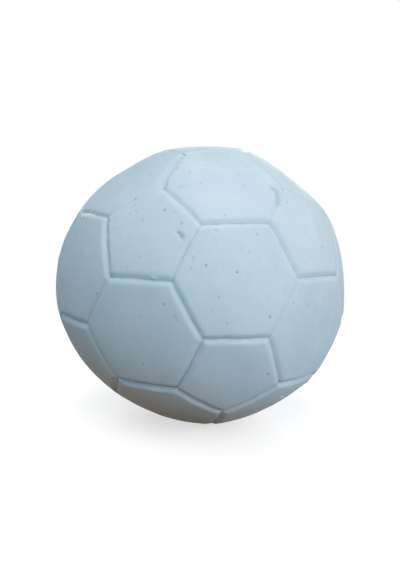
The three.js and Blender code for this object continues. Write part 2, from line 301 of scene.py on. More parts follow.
# Dents: where in the photograph's frame, radius and depth in mm. A negative depth stands proud
DENTS = [
    (166.4, 184.6, 0.9, 0.5),
    (176.8, 236.6, 0.7, -0.4),
    (178.2, 233.2, 0.9, 0.5),
    (180.0, 235.8, 1.1, 0.9),
    (181.6, 238.4, 0.9, 0.6),
    (272.0, 189.2, 1.0, 0.5),
    (274.2, 189.4, 1.2, 0.7),
    (276.2, 190.8, 1.3, 0.9),
    (277.4, 192.8, 1.3, 0.9),
    (278.0, 195.0, 1.3, 0.9),
    (278.4, 197.2, 1.2, 0.8),
    (278.5, 199.4, 1.2, 0.8),
    (278.4, 201.6, 1.2, 0.7),
    (278.0, 203.8, 1.2, 0.6),
    (277.2, 206.5, 1.3, 0.4),
    (275.2, 209.0, 1.6, 0.3),
    (272.5, 211.5, 1.8, 0.25),
    (114.8, 380.5, 1.2, 0.3),
    (114.0, 384.0, 1.3, 0.4),
    (113.0, 388.0, 1.3, 0.4),
    (152.5, 278.3, 0.8, -0.6),
    (155.5, 278.7, 0.7, -0.5),
]

# Dents deeper than this get painted shade, by this share of a pinhole's painted shade
SHADED_DENT_DEPTH = 0.45
DENT_SHADE_SHARE = 0.28

# Torn flakes: where in the photograph's frame, radius in mm and strength, and how high a whole flake stands
CHIPS = [
    (78.8, 213.0, 0.9, 0.7),
    (82.0, 213.2, 1.1, 0.7),
    (85.4, 213.8, 1.2, 0.7),
    (89.0, 213.8, 1.2, 0.7),
    (92.4, 214.8, 1.0, 0.7),
    (86.5, 216.8, 0.9, 0.7),
    (82.8, 216.4, 0.8, 0.7),
    (118.6, 381.0, 0.7, 0.8),
    (118.0, 385.0, 0.8, 0.9),
    (117.2, 389.0, 0.9, 0.9),
    (280.3, 396.0, 1.3, 1.0),
    (291.5, 387.5, 0.8, 0.7),
    (296.5, 385.8, 0.8, 0.7),
    (301.0, 382.8, 0.9, 0.8),
    (305.5, 379.8, 0.9, 0.8),
]
CHIP_RISE = 0.4

# Edges that stand proud of their neighbours: the panel, the two corners of its side, and the rise. It fades
# by a power of the sine along the side
PROUD_EDGES = [("upper_hexagon_3", ("upper_3", "upper_4"), ("upper_4", "upper_3"), 0.7)]
PROUD_REACH = 2.2
PROUD_FADE = 0.5

# How fine the panels' meshes are. The rings are given by their distance from the seams, on the valve's lip by
# shares of the lip, and on the underside by shares of the way to the core. The skin's rings leave room for
# the lip
GRID_STEP = 0.55
SHOULDER_RINGS = [SEAM_HALF_GAP, 0.1, 0.22, 0.38, 0.6, 0.85, 1.15, 1.5, 1.9, 2.35, 2.85, 3.4]
INNER_RING_STEP = 0.9 * GRID_STEP
LIP_RINGS = [1, 0.75, 0.5, 0.3, 0.15, 0.05, 0]
LIP_ROOM = 1.2 * VALVE_LIP
UNDER_RINGS = [0.3, 0.6]
UNDER_STEP = 3 * GRID_STEP
LATHE_SIDES = 64
SHARP_ANGLE = 40

# The cover's colours, and where a pore's floor and rim are, as shares of the cell that it is in
FOAM_SHADE = (0.475, 0.598, 0.662, 1)
FOAM_LIGHT = (0.525, 0.638, 0.697, 1)
FOAM_FLECK = (0.44, 0.57, 0.645, 1)
FOAM_RUBBED = (0.58, 0.68, 0.74, 1)
FOAM_TORN = (0.90, 0.93, 0.94, 1)
# Painted shade along the seam creases
CREASE_PAINTED_SHADE = (0.25, 0.33, 0.38, 1)
# Painted shade in the small pores
PORE_PAINTED_SHADE = (0.20, 0.27, 0.32, 1)
# Painted shade in the pinholes and the deeper dents
PIT_PAINTED_SHADE = (0.12, 0.17, 0.21, 1)
PORE_ENDS = (0.05, 0.16)

# The rubbers: the colour, the colour where it is worn, and the roughness
RUBBERS = {
    "valve_rubber": ((0.30, 0.42, 0.50, 1), (0.52, 0.60, 0.65, 1), 0.5),
    "plug_rubber": ((0.045, 0.055, 0.062, 1), (0.11, 0.12, 0.13, 1), 0.45),
    "bladder_rubber": ((0.02, 0.02, 0.022, 1), (0.09, 0.09, 0.09, 1), 0.5),
    "patch_rubber": ((0.06, 0.06, 0.065, 1), (0.15, 0.15, 0.15, 1), 0.6),
}

# The carcass's cloth. The scale of the wave texture, per mm, gives a thread about every mm
CLOTH_GAP = (0.42, 0.38, 0.30, 1)
CLOTH_THREAD = (0.70, 0.66, 0.56, 1)
THREAD_SCALE = 0.3

# The floor in metres. The light that it throws back is brown under the ball and to its left, and blue further
# out. The camera sees the ball's shadow on it, which fades out to plain white. A change is given by the
# distances at which it starts and ends
FLOOR_HALF_SIZE = 3.0
FLOOR_BROWN = (0.29, 0.13, 0.035, 1)
FLOOR_BLUE = (0.205, 0.325, 0.405, 1)
BROWN_MIDDLE = (-0.05, -0.02, 0)
BROWN_ENDS = (0.07, 0.12)
FLOOR_GREY = (0.55, 0.55, 0.55, 1)
FLOOR_GLOW = 0.62
SHADOW_ENDS = (0.12, 0.3)

# The lamps: place along the camera's right, up and back in metres, power in watts, and colour
LAMPS = {
    "front": ((0.0, 0.24, 0.97), 3.25, (0.74, 0.89, 1.0)),
    "front_right": ((0.74, 0.19, 0.65), 3.4, (1.0, 0.84, 0.86)),
    "front_above": ((0.0, 0.68, 0.73), 2.55, (1.0, 0.94, 0.79)),
    "right": ((0.97, 0.15, 0.19), 2.3, (1.0, 0.98, 0.88)),
    "above": ((0.0, 0.99, 0.1), 3.15, (0.9, 0.92, 1.0)),
    "left_above": ((-0.59, 0.78, 0.2), 2.1, (0.87, 0.92, 1.0)),
    "behind": ((0.1, 0.25, -0.96), 12.0, (0.97, 0.99, 1.0)),
}
LAMP_SIZE = 0.6
WORLD_STRENGTH = 0.08
WHITE = (1, 1, 1, 1)

RANDOM_SEED = 11
rng = np.random.default_rng(RANDOM_SEED)


# Directions and the camera's own axes

def direction(azimuth, elevation):
    a, e = math.radians(azimuth), math.radians(elevation)
    return np.array([math.cos(e) * math.cos(a), math.cos(e) * math.sin(a), math.sin(e)])


def unit(vectors):
    return vectors / np.linalg.norm(vectors, axis=-1, keepdims=True)


def camera_axes():
    """Right, up and back of a camera that stands on the -Y side, raised and then rolled."""
    e, r = math.radians(CAMERA_ELEVATION), math.radians(CAMERA_ROLL)
    back = np.array([0.0, -math.cos(e), math.sin(e)])
    level_right = np.array([1.0, 0.0, 0.0])
    level_up = np.cross(back, level_right)
    right = level_right * math.cos(r) + level_up * math.sin(r)
    above = -level_right * math.sin(r) + level_up * math.cos(r)
    return right, above, back


def camera_place():
    """Where the camera stands, in mm from the middle of the ball, off to the side as the frame asks."""
    right, above, back = camera_axes()
    off_x = (BALL_CENTRE_PX[0] - FRAME_WIDTH_PX / 2) / PX_PER_MM
    off_y = (FRAME_HEIGHT_PX / 2 - BALL_CENTRE_PX[1]) / PX_PER_MM
    return back * CAMERA_DISTANCE - right * off_x - above * off_y


def direction_at_pixel(x, y):
    """Direction from the middle of the ball to the point of its skin at a pixel of the photograph."""
    right, above, back = camera_axes()
    eye = camera_place()
    focal_px = PX_PER_MM * CAMERA_DISTANCE
    across = (x - FRAME_WIDTH_PX / 2) / focal_px
    upward = (FRAME_HEIGHT_PX / 2 - y) / focal_px
    ray = unit(right * across + above * upward - back)
    to_sphere = np.array([1.0, 1.0, BALL_WIDTH / BALL_HEIGHT]) / BALL_RADIUS
    start, step = eye * to_sphere, ray * to_sphere
    a, b, c = step @ step, start @ step, start @ start - 1
    reach = (-b - math.sqrt(max(b * b - a * c, 0))) / a
    return unit(eye + ray * reach)


# The skin: a slightly flattened sphere with swells, dents and the fine unevenness

def wave_set(count, wavelength, height):
    """Random plane waves that add up to a gentle unevenness of about the given height."""
    ways = unit(rng.normal(size=(count, 3))) * (2 * math.pi / wavelength)
    ways *= rng.uniform(*WAVE_VARIATION, size=(count, 1))
    return ways, rng.uniform(0, 2 * math.pi, count), height * math.sqrt(2 / count)


WAVES = [wave_set(*kind) for kind in WAVE_KINDS]
DENT_PLACES = [(direction_at_pixel(x, y), radius, depth) for x, y, radius, depth in DENTS]
CHIP_PLACES = [(direction_at_pixel(x, y), radius, strength) for x, y, radius, strength in CHIPS]


def skin_radius(dirs):
    """The ball's radius with its swells, without the panels and seams."""
    across = (dirs[:, 0] ** 2 + dirs[:, 1] ** 2) / (BALL_WIDTH / 2) ** 2
    radius = 1 / np.sqrt(across + dirs[:, 2] ** 2 / (BALL_HEIGHT / 2) ** 2)
    for azimuth, elevation, reach, rise in SWELLS:
        angle = np.degrees(np.arccos(np.clip(dirs @ direction(azimuth, elevation), -1, 1)))
        radius = radius + rise * np.exp(-(angle / reach) ** 2)
    return radius


def distance_from(dirs, place):
    """Distance in mm from a place on the skin."""
    return np.linalg.norm(dirs - place, axis=1) * BALL_RADIUS


def unevenness(dirs):
    """How far the waves raise the skin, less the dents."""
    total = np.zeros(len(dirs))
    for ways, phases, height in WAVES:
        total += height * np.sin(dirs @ ways.T * BALL_RADIUS + phases).sum(axis=1)
    for place, radius, depth in DENT_PLACES:
        total -= depth * np.exp(-(distance_from(dirs, place) / radius) ** 2)
    return total


# The panel pattern

def pentagon_centres():
    centres = {"top": direction(0, 90)}
    for ring, turn, side in (("upper", 0, 1), ("lower", 0.5, -1)):
        for k in range(RING_SIZE):
            azimuth = FIRST_PENTAGON_AZIMUTH + (k + turn) * RING_STEP
            centres[f"{ring}_{k + 1}"] = direction(azimuth, side * PENTAGON_RING_ELEVATION)
    centres["bottom"] = direction(0, -90)
    return centres


PENTAGONS = pentagon_centres()


def are_neighbours(a, b):
    return a != b and PENTAGONS[a] @ PENTAGONS[b] > NEIGHBOUR_COSINE


def corner_direction(a, b):
    """The corner of pentagon a that points at pentagon b, a third of the way there, with its drift."""
    corner = unit(2 * PENTAGONS[a] + PENTAGONS[b])
    east_mm, north_mm = CORNER_DRIFT.get((a, b), (0, 0))
    east = unit(np.cross([0, 0, 1], corner))
    north = np.cross(corner, east)
    return unit(corner + (east * east_mm + north * north_mm) / BALL_RADIUS)


def ripples(kinds, phases, t):
    """The sum of some waves along a seam, at places from 0 to 1 along it."""
    return sum(share * np.sin(waves * math.pi * t + phase) for (waves, share), phase in zip(kinds, phases))


class Seam:
    """What the two panels at a seam share: how it wanders, and how deep it is along its length."""

    known = {}

    @staticmethod
    def between(a, b):
        """The seam of two corners, and whether it is counted from the first of them."""
        key = (min(a, b), max(a, b))
        if key not in Seam.known:
            Seam.known[key] = Seam(key)
        return Seam.known[key], a == key[0]

    def __init__(self, key):
        self.phases = rng.uniform(0, 2 * math.pi, 4)
        self.bow = rng.uniform(-1, 1)
        shares = [share for pair, share in SEAM_SHARES.items() if set(pair) == set(key)]
        self.shares = shares[0] if shares else (1.0, 1.0)

    def wander(self, t):
        """Sideways shift in mm to the left of the way from the first corner, nothing at both corners."""
        return SEAM_WANDER * np.sin(math.pi * t) * (self.bow + ripples(WANDER_RIPPLES, self.phases[:2], t))

    def depths(self, t):
        """Depths in mm of the valley and the crease. At the corners they come back towards the usual ones."""
        ripple = ripples(DEPTH_RIPPLES, self.phases[2:], t)
        back = CORNER_RETURN * np.abs(2 * t - 1) ** CORNER_RETURN_POWER
        valley, crease = [(share + (1 - share) * back) * (1 + ripple) for share in self.shares]
        return VALLEY_DEPTH * valley, CREASE_DEPTH * crease


class Panel:
    """A panel's corners, counter-clockwise seen from outside, and the seam on each of its sides."""

    def __init__(self, name, corner_names):
        dirs = [corner_direction(a, b) for a, b in corner_names]
        self.middle = unit(np.sum(dirs, axis=0))
        side = unit(np.cross(self.middle, dirs[0]))
        ahead = np.cross(side, self.middle)
        order = sorted(range(len(dirs)), key=lambda k: math.atan2(dirs[k] @ side, dirs[k] @ ahead))
        self.corner_names = [corner_names[k] for k in order]
        self.corners = np.array([dirs[k] for k in order])
        self.sides = len(order)
        self.name = name or hexagon_name(self.middle)

        # For each side: the direction that points inwards from it, the way along it and the angle it spans
        following = np.roll(self.corners, -1, axis=0)
        self.inward = unit(np.cross(self.corners, following))
        self.along = np.cross(self.inward, self.corners)
        self.arcs = np.arccos(np.sum(self.corners * following, axis=1))

        self.apothem = float(np.mean(np.arcsin(self.inward @ self.middle))) * BALL_RADIUS
        self.side_length = float(np.mean(self.arcs)) * BALL_RADIUS
        self.seams = [Seam.between(*pair) for pair in self.side_corners()]
        self.holds_valve = self.middle @ direction(VALVE_AZIMUTH, VALVE_ELEVATION) > VALVE_COSINE

    def side_corners(self):
        return list(zip(self.corner_names, self.corner_names[1:] + self.corner_names[:1]))

    def core(self, edge):
        """Where the lines from the seams to the middle end: at the middle, or at the valve's hole."""
        if not self.holds_valve:
            return np.broadcast_to(self.middle, edge.shape)
        outwards = unit(edge - self.middle * (edge @ self.middle)[:, None])
        return unit(self.middle + outwards * (VALVE_HOLE_RADIUS / BALL_RADIUS))


def hexagon_name(middle):
    ring = HEXAGON_RINGS[sum(middle[2] > height for height in HEIGHTS_BETWEEN_RINGS)]
    turned = math.degrees(math.atan2(middle[1], middle[0])) - FIRST_PENTAGON_AZIMUTH
    place = (round(2 * turned / RING_STEP) / 2) % RING_SIZE
    return f"{ring}_hexagon_{math.floor(place) + 1}"


def all_panels():
    names = list(PENTAGONS)
    panels = []
    for a in names:
        ring, _, place = a.partition("_")
        name = f"{ring}_pentagon_{place}" if place else f"{ring}_pentagon"
        panels.append(Panel(name, [(a, b) for b in names if are_neighbours(a, b)]))
    for a, b, c in itertools.combinations(names, 3):
        if are_neighbours(a, b) and are_neighbours(b, c) and are_neighbours(a, c):
            panels.append(Panel("", [(a, b), (b, a), (b, c), (c, b), (c, a), (a, c)]))
    return panels


# Shape of a panel's outside

def groove(distance, reach, valley_depth, crease_depth):
    valley = np.exp(-(distance / reach) ** 2)
    closeness = np.clip(1 - distance / CREASE_WIDTH, 0, 1)
    return valley_depth * valley + crease_depth * (1 - np.sqrt(1 - closeness ** 2))


def seam_terms(panel, dirs):
    """For each side of the panel: its seam, the distance in mm from it, and the place along it."""
    for k in range(panel.sides):
        seam, forward = panel.seams[k]
        t = np.clip(np.arctan2(dirs @ panel.along[k], dirs @ panel.corners[k]) / panel.arcs[k], 0, 1)
        t = t if forward else 1 - t
        shift = seam.wander(t) * (1 if forward else -1)
        distance = np.arcsin(np.clip(dirs @ panel.inward[k], -1, 1)) * BALL_RADIUS - shift
        yield seam, np.maximum(distance, 0), t


def seam_drop(panel, dirs):
    """How far the seams lower the skin, and how much painted shade darkens them along their creases."""
    total = np.zeros(len(dirs))
    dark = np.zeros(len(dirs))
    for corners, (seam, distance, t) in zip(panel.side_corners(), seam_terms(panel, dirs)):
        reach = VALLEY_REACH
        for name, first, second, share in SIDE_REACHES:
            if panel.name == name and set(corners) == {first, second}:
                reach = VALLEY_REACH * share
        valley_depth, crease_depth = seam.depths(t)
        total += groove(distance, reach, valley_depth, crease_depth) ** CORNER_ROUNDING
        # Painted shade: the colour darkens along each crease, more where the crease is deeper
        dark = np.maximum(dark, np.exp(-(distance / CREASE_WIDTH) ** 2) * crease_depth / CREASE_DEPTH)
    return total ** (1 / CORNER_ROUNDING), dark


def cap_rise(panel, dirs):
    """How far the panel's flatter cap is above the ball's own curve.

    It goes by the square of the way out from the middle, which is also worked out from each side. The nearer
    of these count for more, so that neighbours meet without a step.
    """
    out = distance_from(dirs, panel.middle)
    weights = np.full(len(dirs), 1 / panel.apothem ** 2)
    past_side = weights * (out ** 2 - panel.apothem ** 2)
    for inward, along, corner, arc in zip(panel.inward, panel.along, panel.corners, panel.arcs):
        distance = np.arcsin(np.clip(dirs @ inward, -1, 1)) * BALL_RADIUS
        off_centre = PANEL_SIDE * (np.arctan2(dirs @ along, dirs @ corner) / arc - 0.5)
        weight = 1 / (distance ** 2 + SIDE_SOFTNESS)
        past_side += weight * (off_centre ** 2 + distance ** 2 - 2 * panel.apothem * distance)
        weights += weight
    rise = PANEL_EDGE_RISE + PANEL_FLATNESS * past_side / weights / BALL_WIDTH
    if panel.holds_valve:
        rise *= 1 - np.exp(-(out / VALVE_SWELL_REACH) ** 2)
    return rise


def proud_rise(panel, dirs):
    """Lift of an edge that stands proud, fading out towards its two corners."""
    rise = np.zeros(len(dirs))
    for name, first, second, height in PROUD_EDGES:
        if panel.name != name:
            continue
        for (a, b), (_, distance, t) in zip(panel.side_corners(), seam_terms(panel, dirs)):
            if {a, b} == {first, second}:
                rise += height * np.exp(-(distance / PROUD_REACH) ** 2) * np.sin(math.pi * t) ** PROUD_FADE
    return rise


def valve_drop(panel, dirs):
    """The shallow dish round the valve and the rounded lip of its hole."""
    if not panel.holds_valve:
        return np.zeros(len(dirs))
    past_hole = np.maximum(distance_from(dirs, panel.middle) - VALVE_HOLE_RADIUS, 0)
    dish = VALVE_DISH_DEPTH * np.exp(-(past_hole / VALVE_DISH_REACH) ** 2)
    closeness = np.clip(1 - past_hole / VALVE_LIP, 0, 1)
    return dish + VALVE_LIP * (1 - np.sqrt(1 - closeness ** 2))


# Meshes

def zipper(outer_steps, inner_steps):
    """Triangles of a strip between two rows of points with different counts, as (row, place) pairs."""
    i = j = 0
    strip = []
    while i < outer_steps or j < inner_steps:
        outer_next = (i + 1) / outer_steps if i < outer_steps else 2
        inner_next = (j + 1) / inner_steps if j < inner_steps else 2
        if outer_next <= inner_next:
            strip.append(((0, i), (0, i + 1), (1, j)))
            i += 1
        else:
            strip.append(((0, i), (1, j + 1), (1, j)))
            j += 1
    return np.array(strip)


class PanelMesh:
    """Rings of directions that shrink from a panel's seams to its middle, joined by triangles."""

    def __init__(self, panel):
        self.panel = panel
        self.blocks = []
        self.triangles = []
        self.count = 0

    def add_block(self, dirs):
        start = self.count
        self.blocks.append(dirs)
        self.count += len(dirs)
        return start

    def add_ring(self, share, steps):
        """Adds a ring at a share of the way out from the core, and gives its start and steps to a side."""
        t = np.arange(steps) / steps
        dirs = []
        for k in range(self.panel.sides):
            start, end = self.panel.corners[k], self.panel.corners[(k + 1) % self.panel.sides]
            seam, forward = self.panel.seams[k]
            shift = seam.wander(t if forward else 1 - t) * (1 if forward else -1) / BALL_RADIUS
            edge = unit(start * (1 - t)[:, None] + end * t[:, None]) + self.panel.inward[k] * shift[:, None]
            dirs.append(unit(self.panel.core(edge) * (1 - share) + edge * share))
        return self.add_block(np.concatenate(dirs)), steps

    def join(self, outer, inner, flip=False):
        strip = zipper(outer[1], inner[1])
        starts, steps = np.array([outer[0], inner[0]]), np.array([outer[1], inner[1]])
        row = strip[..., 0]
        for side in range(self.panel.sides):
            place = strip[..., 1] + side * steps[row]
            triangles = starts[row] + place % (self.panel.sides * steps[row])
            self.triangles.append(triangles[:, ::-1] if flip else triangles)

    def fill(self, ring, flip=False):
        """Closes a ring with a fan round the panel's middle."""
        loop = ring[0] + np.arange(ring[1] * self.panel.sides)
        middle = self.add_block(self.panel.middle[None])
        fan = np.stack([loop, np.roll(loop, -1), np.full(len(loop), middle)], axis=1)
        self.triangles.append(fan[:, ::-1] if flip else fan)

    def add_rings(self, distances, step, flip=False):
        """Rings at distances in mm from the seams, joined in turn. Returns the first and the last."""
        first = last = None
        hole_radius = VALVE_HOLE_RADIUS if self.panel.holds_valve else 0
        hole_length = 2 * math.pi * hole_radius / self.panel.sides
        for distance in distances:
            share = 1 - distance / (self.panel.apothem - hole_radius)
            length = hole_length * (1 - share) + self.panel.side_length * share
            ring = self.add_ring(share, max(1, round(length / step)))
            if last is None:
                first = ring
            else:
                self.join(last, ring, flip)
            last = ring
        return first, last


def build_panel(panel):
    """Directions and triangles of a closed panel, and how many of the points are on its skin."""
    net = PanelMesh(panel)
    span = panel.apothem - (VALVE_HOLE_RADIUS if panel.holds_valve else 0)
    inner = np.arange(SHOULDER_RINGS[-1] + GRID_STEP, span - GRID_STEP / 2, INNER_RING_STEP)
    distances = [*SHOULDER_RINGS, *inner]
    under_distances = [SEAM_HALF_GAP, *(share * span for share in UNDER_RINGS)]
    if panel.holds_valve:
        distances = [distance for distance in distances if distance < span - LIP_ROOM]
        distances += [span - VALVE_LIP * share for share in LIP_RINGS]
        under_distances.append(span)
    skin_edge, skin_core = net.add_rings(distances, GRID_STEP)
    if not panel.holds_valve:
        net.fill(skin_core)
    skin_count = net.count
    under_edge, under_core = net.add_rings(under_distances, UNDER_STEP, flip=True)
    net.join(under_edge, skin_edge)
    if panel.holds_valve:
        net.join(skin_core, under_core)
    else:
        net.fill(under_core, flip=True)
    return np.concatenate(net.blocks), np.concatenate(net.triangles), skin_count


def make_mesh(name, points, triangles, attributes=None):
    mesh = bpy.data.meshes.new(name)
    mesh.vertices.add(len(points))
    mesh.vertices.foreach_set("co", (points * MM).astype(np.float32).ravel())
    mesh.loops.add(triangles.size)
    mesh.loops.foreach_set("vertex_index", triangles.astype(np.int32).ravel())
    mesh.polygons.add(len(triangles))
    mesh.polygons.foreach_set("loop_start", np.arange(0, triangles.size, 3, dtype=np.int32))
    mesh.update(calc_edges=True)
    mesh.shade_smooth()
    mesh.set_sharp_from_angle(angle=math.radians(SHARP_ANGLE))
    for key, values in (attributes or {}).items():
        layer = mesh.attributes.new(key, "FLOAT", "POINT")
        layer.data.foreach_set("value", values.astype(np.float32))
    piece = bpy.data.objects.new(name, mesh)
    bpy.context.scene.collection.objects.link(piece)
    return piece


def pits(dirs, pinholes):
    """How far each direction is down a pinhole, from 0 on the skin to 1 in the middle of a deep one."""
    total = np.zeros(len(dirs))
    for place, strength in pinholes:
        total = np.maximum(total, strength * np.exp(-(distance_from(dirs, place) / PINHOLE_RADIUS) ** 2))
    return total


def dent_painted_shade(dirs):
    """How much painted shade the deeper dents get, from 0 to 1."""
    total = np.zeros(len(dirs))
    for place, radius, depth in DENT_PLACES:
        if depth > SHADED_DENT_DEPTH:
            total = np.maximum(total, DENT_SHADE_SHARE * np.exp(-(distance_from(dirs, place) / radius) ** 2))
    return total


def make_cover_panel(panel, pinholes, material):
    dirs, triangles, skin_count = build_panel(panel)
    outside, under = dirs[:skin_count], dirs[skin_count:]
    drop, crease = seam_drop(panel, outside)
    height = skin_radius(outside) + cap_rise(panel, outside) + unevenness(outside) - drop
    height += proud_rise(panel, outside) - valve_drop(panel, outside)
    chip = np.zeros(skin_count)
    for place, radius, strength in CHIP_PLACES:
        flake = strength * np.exp(-(distance_from(outside, place) / radius) ** 2)
        height += CHIP_RISE * flake
        chip = np.maximum(chip, flake)
    pit = pits(outside, pinholes)
    height -= PINHOLE_DEPTH * pit
    # The crease and pit marks carry painted shade for the seam creases, pinholes and deeper dents
    marks = {"crease": crease, "pit": np.maximum(pit, dent_painted_shade(outside)), "chip": chip}
    clean = np.zeros(len(under))
    attributes = {name: np.concatenate([values, clean]) for name, values in marks.items()}
    radii = np.concatenate([height, skin_radius(under) - COVER_THICKNESS])
    piece = make_mesh(f"cover_{panel.name}", dirs * radii[:, None], triangles, attributes)
    piece.data.materials.append(material)
    return piece


def make_lathe(name, profile, axis, material):
    """A solid turned about a line through the middle of the ball, from radii and heights in mm.

    The profile goes up on the outside. It ends at the axis at both ends, or else it is a closed loop.
    """
    side = unit(np.cross([0, 0, 1], axis))
    ahead = np.cross(axis, side)
    turns = np.arange(LATHE_SIDES) * 2 * math.pi / LATHE_SIDES
    spokes = np.cos(turns)[:, None] * side + np.sin(turns)[:, None] * ahead
    points, rows = [], []
    for radius, height in profile:
        ring = spokes * radius + axis * height if radius else (axis * height)[None]
        rows.append(len(points) + (np.arange(LATHE_SIDES) if radius else np.zeros(LATHE_SIDES, int)))
        points.extend(ring)
    triangles = []
    for k in range(len(rows) if profile[0][0] else len(rows) - 1):
        after = (k + 1) % len(rows)
        a, b = rows[k], rows[after]
        if profile[k][0]:
            triangles.append(np.stack([a, np.roll(a, -1), np.roll(b, -1)], axis=1))
        if profile[after][0]:
            triangles.append(np.stack([a, np.roll(b, -1), b], axis=1))
    piece = make_mesh(name, np.array(points), np.concatenate(triangles))
    piece.data.materials.append(material)
    return piece


def quarter_turn(middle, radius, from_angle, to_angle, steps=6):
    """Points of an arc about a middle, between two angles in degrees."""
    angles = np.radians(np.linspace(from_angle, to_angle, steps))
    return [(middle[0] + radius * math.cos(a), middle[1] + radius * math.sin(a)) for a in angles]


def make_valve(axis, skin, ring_material, plug_material):
    """The ring that is bonded into the ball, and the self-closing plug that takes the pump's needle."""
    rim = skin - RIM_RECESS
    top = rim - PLUG_RECESS
    bead_top = skin - BEAD_TOP_DEPTH
    bead_foot = bead_top - BEAD_HEIGHT
    flange_top = skin - FLANGE_DEPTH
    foot = skin - PLUG_FOOT_DEPTH
    soft = RIM_ROUNDING
    ring = [
        (PLUG_BORE_RADIUS, flange_top - FLANGE_THICKNESS),
        (FLANGE_RADIUS, flange_top - FLANGE_THICKNESS),
        (FLANGE_RADIUS, flange_top),
        (STEM_RADIUS, flange_top),
        *quarter_turn((STEM_RADIUS - soft, rim - soft), soft, 0, 90),
        *quarter_turn((PLUG_BORE_RADIUS + soft, rim - soft), soft, 90, 180),
        (PLUG_BORE_RADIUS, bead_top + BEAD_CLEARANCE),
        (BEAD_GROOVE_RADIUS, bead_top + BEAD_CLEARANCE),
        (BEAD_GROOVE_RADIUS, bead_foot - BEAD_CLEARANCE),
        (PLUG_BORE_RADIUS, bead_foot - BEAD_CLEARANCE),
    ]
    plug = [
        (0, foot),
        (PLUG_FOOT_RADIUS, foot),
        (PLUG_RADIUS, foot + PLUG_TAIL),
        (PLUG_RADIUS, bead_foot),
        (BEAD_RADIUS, bead_foot),
        (BEAD_RADIUS, bead_top),
        (PLUG_RADIUS, bead_top),
        *quarter_turn((PLUG_RADIUS - soft, top - soft), soft, 0, 90),
        (FUNNEL_RADIUS, top),
        (CHANNEL_RADIUS, top - FUNNEL_DEPTH),
        (CHANNEL_RADIUS, skin - CHANNEL_END_DEPTH),
        (0, skin - CHANNEL_END_DEPTH),
    ]
    return (
        make_lathe("valve_ring", ring, axis, ring_material),
        make_lathe("valve_insert", plug, axis, plug_material),
    )


# Materials

class Tree:
    """A node tree, with short calls to add nodes and join them."""

    def __init__(self, owner):
        owner.use_nodes = True
        self.tree = owner.node_tree

    def add(self, kind, **settings):
        node = self.tree.nodes.new(kind)
        for key, value in settings.items():
            setattr(node, key, value)
        return node

    def feed(self, socket, value):
        if isinstance(value, bpy.types.NodeSocket):
            self.tree.links.new(value, socket)
        else:
            socket.default_value = value

    def seen(self):
        """1 where the ray comes from the camera, or from it by a reflection or through glass."""
        kind = self.add("ShaderNodeLightPath")
        seen = self.math("MAXIMUM", kind.outputs["Is Camera Ray"], kind.outputs["Is Glossy Ray"])
        return self.math("MAXIMUM", seen, kind.outputs["Is Transmission Ray"])

    def blend(self, share, first, second):
        """The first shader, with the second mixed in by a share."""
        node = self.add("ShaderNodeMixShader")
        self.feed(node.inputs[0], share)
        self.feed(node.inputs[1], first.outputs[0])
        self.feed(node.inputs[2], second.outputs[0])
        return node

    def math(self, operation, a, b):
        node = self.add("ShaderNodeMath", operation=operation)
        self.feed(node.inputs[0], a)
        self.feed(node.inputs[1], b)
        return node.outputs[0]


class Nodes(Tree):
    """A material's nodes."""

    def __init__(self, name):
        self.material = bpy.data.materials.new(name)
        super().__init__(self.material)
        self.shader = self.tree.nodes["Principled BSDF"]
        self.place = self.add("ShaderNodeTexCoord").outputs["Object"]

    def noise(self, size_mm, detail, roughness):
        """Noise whose features are about the given size."""
        node = self.add("ShaderNodeTexNoise")
        self.feed(node.inputs["Vector"], self.place)
        node.inputs["Scale"].default_value = 1 / (size_mm * MM)
        node.inputs["Detail"].default_value = detail
        node.inputs["Roughness"].default_value = roughness
        return node.outputs["Fac"]

    def spread(self, value, low, high, to_low=0.0, to_high=1.0):
        node = self.add("ShaderNodeMapRange")
        names = ("Value", "From Min", "From Max", "To Min", "To Max")
        for key, part in zip(names, (value, low, high, to_low, to_high)):
            self.feed(node.inputs[key], part)
        return node.outputs["Result"]

    def mix(self, share, a, b):
        node = self.add("ShaderNodeMix", data_type="RGBA")
        sockets = {socket.identifier: socket for socket in [*node.inputs, *node.outputs]}
        self.feed(sockets["Factor_Float"], share)
        self.feed(sockets["A_Color"], a)
        self.feed(sockets["B_Color"], b)
        return sockets["Result_Color"]

    def distance_to(self, point):
        node = self.add("ShaderNodeVectorMath", operation="DISTANCE")
        self.feed(node.inputs[0], self.place)
        node.inputs[1].default_value = point
        return node.outputs["Value"]

    def attribute(self, name):
        return self.add("ShaderNodeAttribute", attribute_name=name).outputs["Fac"]

    def pores(self, size_mm, share):
        """Sparse small spots, 1 in the middle of a spot. The share says how many of the cells have one."""
        cells = self.add("ShaderNodeTexVoronoi")
        self.feed(cells.inputs["Vector"], self.place)
        cells.inputs["Scale"].default_value = 1 / (size_mm * MM)
        parts = self.add("ShaderNodeSeparateColor")
        self.feed(parts.inputs["Color"], cells.outputs["Color"])
        chosen = self.math("GREATER_THAN", parts.outputs["Red"], 1 - share)
        spots = self.spread(cells.outputs["Distance"], *PORE_ENDS, to_low=1.0, to_high=0.0)
        return self.math("MULTIPLY", spots, chosen)

    def stain_and_shade(self, base, colour, amount, strength):
        """The base with a colour mixed in where the amount is high, for real wear and for painted shade."""
        return self.mix(self.math("MULTIPLY", amount, strength), base, colour)

    def bump(self, height, strength, distance_mm, normal=None):
        node = self.add("ShaderNodeBump")
        self.feed(node.inputs["Height"], height)
        node.inputs["Strength"].default_value = abs(strength)
        node.inputs["Distance"].default_value = distance_mm * MM
        node.invert = strength < 0
        if normal is not None:
            self.feed(node.inputs["Normal"], normal)
        return node.outputs["Normal"]


